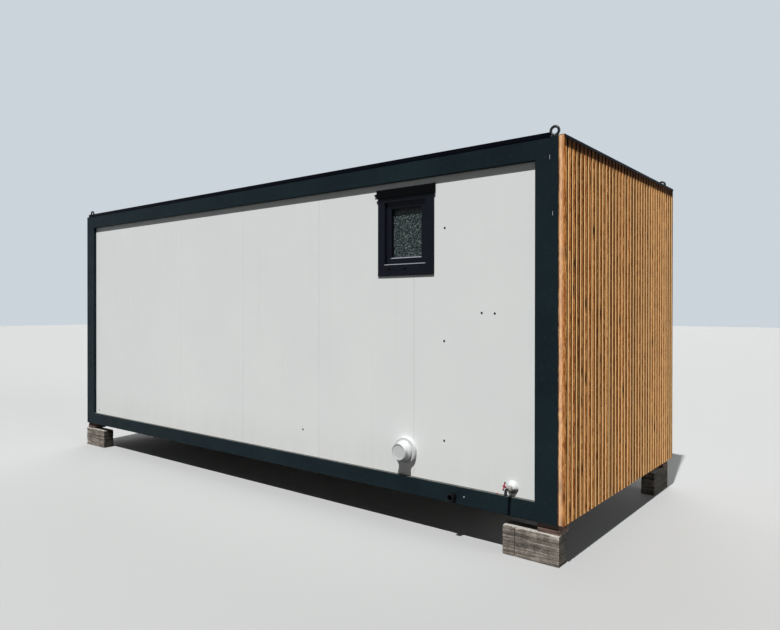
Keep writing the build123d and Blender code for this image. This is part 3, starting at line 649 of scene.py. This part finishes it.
# Concrete blocks and timber packs
def concrete_wear(seed, joint_axis, joint_at, face_axis, face_at):
    shift = Vector((seed * 7.3, seed * 3.1, seed * 5.7))

    def wear(p):
        q = p + shift
        chips = max(0.0, field.noise(q * 17.0) - 0.12)
        boards = field.noise(Vector((q.x * 5, q.y * 5, q.z * 85)))
        rough = abs(field.fractal(q * 55.0, 0.9, 2.0, 3))
        worn = 0.0007 * (boards + 1) + 0.0011 * rough
        if abs(p[joint_axis] - joint_at) < 0.004 and abs(p[face_axis] - face_at) < 0.001:
            worn += 0.006
        return 0.005 + 0.035 * chips, worn

    return wear


def add_blocks():
    low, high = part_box("support_blocks")
    length, depth, joint = 0.408, 0.120, 0.313
    right, left = high.x, low.x
    spots = [
        ((right - length, low.y), (right, low.y + depth), 0, right - joint, 1, low.y),
        ((left, low.y), (left + length, low.y + depth), 0, left + joint, 1, low.y),
        ((X_LEFT, high.y - length), (X_LEFT + depth, high.y), 1, high.y - joint, 0, X_LEFT),
        ((X_RIGHT - depth, high.y - length), (X_RIGHT, high.y), 1, high.y - length + joint, 0, X_RIGHT),
    ]
    names = ("front_right", "front_left", "back_left", "back_right")
    for i, (a, b, joint_axis, joint_at, face_axis, face_at) in enumerate(spots):
        bm = bmesh.new()
        wear = concrete_wear(i + 1, joint_axis, joint_at, face_axis, face_at)
        add_weathered(bm, (*a, low.z), (*b, high.z), 0.0044, wear)
        replaced = ("support_blocks",) if i == 0 else ()
        make("block_" + names[i], bm, "concrete", replaced=replaced, sharp=50)


def timber_wear(seed):
    shift = Vector((seed * 4.1, seed * 9.7, seed * 2.3))

    def wear(p):
        q = p + shift
        ridges = field.noise(Vector((q.x * 5, q.y * 110, q.z * 110)))
        splinter = max(0.0, field.noise(Vector((q.x * 30, q.y * 60, q.z * 60))) - 0.2)
        return 0.0025 + 0.012 * splinter, 0.0011 * (ridges + 1) + 0.0015 * splinter

    return wear


def add_packs():
    """Each node holds four boards at the corners of the node's box; their height comes from the box, and
    their length and depth are given.
    """
    for layer, node in enumerate(("lower_timber_packs", "upper_timber_packs")):
        low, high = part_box(node)
        length, depth = 0.158, 0.140
        bm = bmesh.new()
        for i, x in enumerate((low.x, high.x - length)):
            for j, y in enumerate((low.y, high.y - depth)):
                wear = timber_wear(1 + i + 2 * j + 4 * layer)
                add_weathered(bm, (x, y, low.z), (x + length, y + depth, high.z), 0.0035, wear)
        make(node + "_worn", bm, "pack_timber", replaced=(node,), sharp=45)


# Screws and small marks on the long wall, each as (metres left of the frame's right side, metres up)
PANEL_SCREWS = ((0.8876, 1.9799), (0.8912, 1.1577), (0.8905, 0.4321), (0.5786, 1.3634), (0.4756, 1.3603),
                (2.3589, 0.3437), (5.8561, 0.1677))
RAIL_STUD = (0.702, 0.063)
RED_CAP_LEFT = 0.444
POST_MARKS = ((0.0608, 2.3691), (0.0401, 2.0062))
OUTWARD = (0, -1, 0)


def screw_profile(radius, height):
    """A domed head with a rim and a small socket in its middle."""
    return [(0, radius), (height * 0.35, radius), (height * 0.8, radius * 0.8), (height, radius * 0.45),
            (height * 0.97, radius * 0.34), (height * 0.45, radius * 0.3), (height * 0.4, 0)]


def add_screws():
    head = screw_profile(0.0065, 0.0045)
    washer = [(0, 0.0085), (0.0008, 0.0085), (0.0012, 0.008), (0.0012, 0.0045)]
    for name, profile, material in (("panel_screws", head, "black_plastic"),
                                    ("panel_screw_washers", washer, "lifting_steel")):
        bm = bmesh.new()
        for left, up in PANEL_SCREWS:
            add_turned(bm, profile, (X_RIGHT - left, PANEL_FACE + 0.0002, Z_FOOT + up), OUTWARD, 20)
        make(name, bm, material)


def add_rail_marks():
    """A bright stud in the bottom rail's face, and a red cap on its upper side."""
    left, up = RAIL_STUD
    bm = bmesh.new()
    add_turned(bm, [(0, 0.0056), (0.002, 0.006), (0.004, 0.0054), (0.0052, 0.0034), (0.0056, 0)],
               (X_RIGHT - left, Y_FRONT + 0.0005, Z_FOOT + up), OUTWARD, 24)
    make("rail_stud", bm, "joist_steel")
    bm = bmesh.new()
    add_turned(bm, [(0, 0.0052), (0.003, 0.0055), (0.006, 0.005), (0.0075, 0.003), (0.0078, 0)],
               (X_RIGHT - RED_CAP_LEFT, Y_FRONT + 0.014, WALL_BOTTOM), (0, 0, 1), 24)
    make("red_cap", bm, "tap_red")


# Frame joints and marks
def add_frame_welds():
    """Ground welds that fill the groove between each post's round edge and the rails."""
    bm = bmesh.new()
    proud, sunk, round_edge = 0.0003, 0.0058, 0.0065
    rails = [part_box("front_bottom_rail"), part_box("front_top_rail")]
    for rail_low, rail_high in rails:
        z0, z1 = rail_low.z + 0.0055, rail_high.z - 0.0055
        for x, side in ((X_WALL_RIGHT, 1), (X_WALL_LEFT, -1)):
            x0, x1 = sorted((x - side * 0.001, x + side * round_edge))
            add_box(bm, (x0, Y_FRONT - proud, z0), (x1, Y_FRONT + sunk, z1), 0.0003, 1)
            add_box(bm, (x0, Y_BACK - sunk, z0), (x1, Y_BACK + proud, z1), 0.0003, 1)
        for y, side in ((post_high.y, -1), (back_low.y, 1)):
            y0, y1 = sorted((y - side * 0.001, y + side * round_edge))
            add_box(bm, (X_LEFT - proud, y0, z0), (X_LEFT + sunk, y1, z1), 0.0003, 1)
    make("frame_welds", bm, "frame_paint")


def add_post_marks():
    """Two narrow bare marks in the front right post's paint."""
    half_width, half_height, proud, sunk = 0.0014, 0.014, 0.0004, 0.001
    bm = bmesh.new()
    for left, up in POST_MARKS:
        x, z = X_RIGHT - left, Z_FOOT + up
        add_box(bm, (x - half_width, Y_FRONT - proud, z - half_height),
                (x + half_width, Y_FRONT + sunk, z + half_height), 0.0003, 1)
    make("post_marks", bm, "joist_steel")


# Larch cladding
def add_batten_screws():
    """One stainless screw where each batten crosses each rail."""
    low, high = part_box("larch_battens")
    pitch = (high.y - low.y - BATTEN_WIDTH) / (BATTEN_COUNT - 1)
    rail_count, rail_inset, wander = 5, 0.120, 0.004
    rail_pitch = (Z_TOP - Z_FOOT - 2 * rail_inset) / (rail_count - 1)
    head = [(-0.001, 0.0034), (0.0001, 0.0033), (0.0003, 0.0026), (0.0001, 0.0014), (-0.0002, 0)]
    bm = bmesh.new()
    for i in range(BATTEN_COUNT):
        for k in range(rail_count):
            y = low.y + BATTEN_WIDTH / 2 + pitch * i + random.uniform(-wander, wander)
            z = Z_FOOT + rail_inset + rail_pitch * k + random.uniform(-wander, wander)
            add_turned(bm, head, (high.x - 0.0003, y, z), (1, 0, 0), 10)
    make("batten_screws", bm, "tap_metal")


# Waste outlet
def add_outlet_plug():
    """The flat cap pressed into the socket's mouth, with a low rim."""
    low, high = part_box("waste_outlet")
    centre = ((low.x + high.x) / 2, low.y, (low.z + high.z) / 2)
    bm = bmesh.new()
    add_turned(bm, [(0.0035, 0.0), (0.0035, 0.0495), (0.0022, 0.0508), (0.0022, 0.0541), (0.0035, 0.0551),
                    (0.030, 0.0551), (0.030, 0.0)], centre, (0, 1, 0), 64)
    make("outlet_plug", bm, "white_plastic")


# Roof
def add_membrane_seams():
    """Welded laps between the membrane's sheets."""
    low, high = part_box("roof_membrane")
    bm = bmesh.new()
    count = 5
    for i in range(1, count + 1):
        x = low.x + (high.x - low.x) * i / (count + 1)
        add_box(bm, (x, low.y + 0.004, high.z - 0.0005), (x + 0.08, high.y - 0.004, high.z + 0.0022), 0.0016)
    make("membrane_seams", bm, "roof_membrane")


# Door
HINGE_HEIGHTS = (0.62, 1.40, 2.20)


def add_door_details():
    """Hinges on the side away from the lever, the lock's cylinder and the plate's screws."""
    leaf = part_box("door_leaf")[1]
    frame_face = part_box("door_frame")[1].y
    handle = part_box("door_handle")[0]
    knuckles = [(0, 0), (0, 0.006), (0.002, 0.008), (0.030, 0.008), (0.0305, 0.0072), (0.0315, 0.0072),
                (0.032, 0.008), (0.061, 0.008), (0.0615, 0.0072), (0.0625, 0.0072), (0.063, 0.008),
                (0.090, 0.008), (0.092, 0.006), (0.092, 0)]
    bm = bmesh.new()
    x, flap, proud = leaf.x + 0.003, 0.034, 0.0035
    for z in HINGE_HEIGHTS:
        low, high = z + 0.004, z + 0.088
        add_turned(bm, knuckles, (x, frame_face + proud, z), (0, 0, 1), 24)
        add_box(bm, (x, frame_face - 0.0005, low), (x + flap, frame_face + proud, high), 0.001)
        add_box(bm, (x - flap, leaf.y - 0.0005, low), (x, leaf.y + 0.0125, high), 0.001)
    make("door_hinges", bm, "window_plastic")
    bm = bmesh.new()
    plate_x, plate_y, lock_z = handle.x + 0.017, leaf.y + 0.008, handle.z + 0.075
    cylinder = [(-0.001, 0.0088), (0.003, 0.0088), (0.004, 0.008), (0.004, 0.0015), (0.001, 0.0012),
                (0.001, 0)]
    add_turned(bm, cylinder, (plate_x, plate_y, lock_z), (0, 1, 0), 28)
    add_box(bm, (plate_x - 0.0045, plate_y - 0.001, lock_z - 0.024),
            (plate_x + 0.0045, plate_y + 0.0032, lock_z - 0.004), 0.0015)
    for up in (0.016, 0.204):
        add_turned(bm, [(-0.001, 0.0042), (0.0012, 0.0038), (0.0018, 0.002), (0.0012, 0)],
                   (plate_x, plate_y, handle.z + up), (0, 1, 0), 16)
    make("door_lock", bm, "door_steel")


# Window; each drain cap has its place along X and its half length
DRAIN_CAPS = ((1.785, 0.019), (1.634, 0.016))


def add_window_details():
    """Gaskets round the sash and the pane, caps on the drain slots, and the cassette's two lugs."""
    low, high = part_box("window_frame")
    sash_low, sash_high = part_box("window_sash")
    glass_low, glass_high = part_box("window_glass")
    lip = 0.003
    sight = (sash_low.x + 0.018, sash_high.x - 0.018, sash_low.z + 0.018, sash_high.z - 0.008)
    bm = bmesh.new()
    inner = (sight[0] + lip, sight[1] - lip, sight[2] + lip, sight[3] - lip)
    add_ring(bm, sight, inner, sash_low.y - 0.0015, sash_low.y + 0.002)
    pane = (glass_low.x + 0.013, glass_high.x - 0.013, glass_low.z + 0.013, glass_high.z - 0.013)
    inner = (pane[0] + lip, pane[1] - lip, pane[2] + lip, pane[3] - lip)
    add_ring(bm, pane, inner, glass_low.y - 0.002, glass_low.y + 0.001)
    make("window_gaskets", bm, "black_plastic")
    bm = bmesh.new()
    for x, half in DRAIN_CAPS:
        add_box(bm, (x - half, low.y + 0.0002, low.z + 0.046),
                (x + half, low.y + 0.004, low.z + 0.061), 0.0012)
    make("window_drain_caps", bm, "cassette_plastic")
    bm = bmesh.new()
    wall = PANEL_FACE + 0.0005
    add_box(bm, (low.x - 0.034, wall - 0.013, high.z + 0.024), (low.x - 0.004, wall, high.z + 0.039), 0.002)
    add_box(bm, (low.x - 0.015, wall - 0.008, high.z - 0.028), (low.x + 0.002, wall, high.z - 0.013), 0.002)
    make("cassette_lugs", bm, "cassette_plastic")


# Tap; the middle line of its spout
SPOUT_X, SPOUT_Y = 2.6965, -1.258735
SPOUT_TOP, SPOUT_MOUTH = 0.454, 0.418
SPOUT_BEND = 0.015


def add_tap_sleeve():
    """The black sleeve over the spout's bend and drop, with its mouthpiece."""
    x, mouth_y, mouth_z, top_z, bend = SPOUT_X, SPOUT_Y, SPOUT_MOUTH, SPOUT_TOP, SPOUT_BEND
    points = [(x, mouth_y + 0.03, top_z)]
    for i in range(9):
        turn = math.radians(90 * i / 8)
        points.append((x, mouth_y + bend - bend * math.sin(turn), top_z - bend + bend * math.cos(turn)))
    points.append((x, mouth_y, mouth_z + 0.011))
    bm = bmesh.new()
    add_tube(bm, points, 0.0098, 24)
    add_turned(bm, [(0.0003, 0.0075), (0.0003, 0.0117), (0.0118, 0.0117), (0.0125, 0.011), (0.0125, 0.0085)],
               (x, mouth_y, mouth_z), (0, 0, 1), 32)
    make("tap_spout_sleeve", bm, "black_plastic")


for subpart in frame["record"]["subparts"]:
    node = frame["nodes"][subpart["node"]]
    node.data.materials.clear()
    node.data.materials.append(materials[subpart["material_slot"]])

add_camera()
add_floor((0.43, 0.435, 0.43), (0.045, 0.043, 0.041))
add_world(0.08, (0.60, 0.66, 0.71))
add_sun("key", (0.18, -1.0, 1.9), 4.45, 1.2)
add_sun("side_fill", (1.0, 0.0, 0.3), 0.75, 25)
add_sun("back_fill", (-0.6, 1.0, 0.6), 1.7, 60)

add_blocks()
add_packs()
add_screws()
add_rail_marks()
add_frame_welds()
add_post_marks()
add_batten_screws()
add_outlet_plug()
add_membrane_seams()
add_door_details()
add_window_details()
add_tap_sleeve()

view = bpy.context.scene.view_settings
view.view_transform = "Standard"
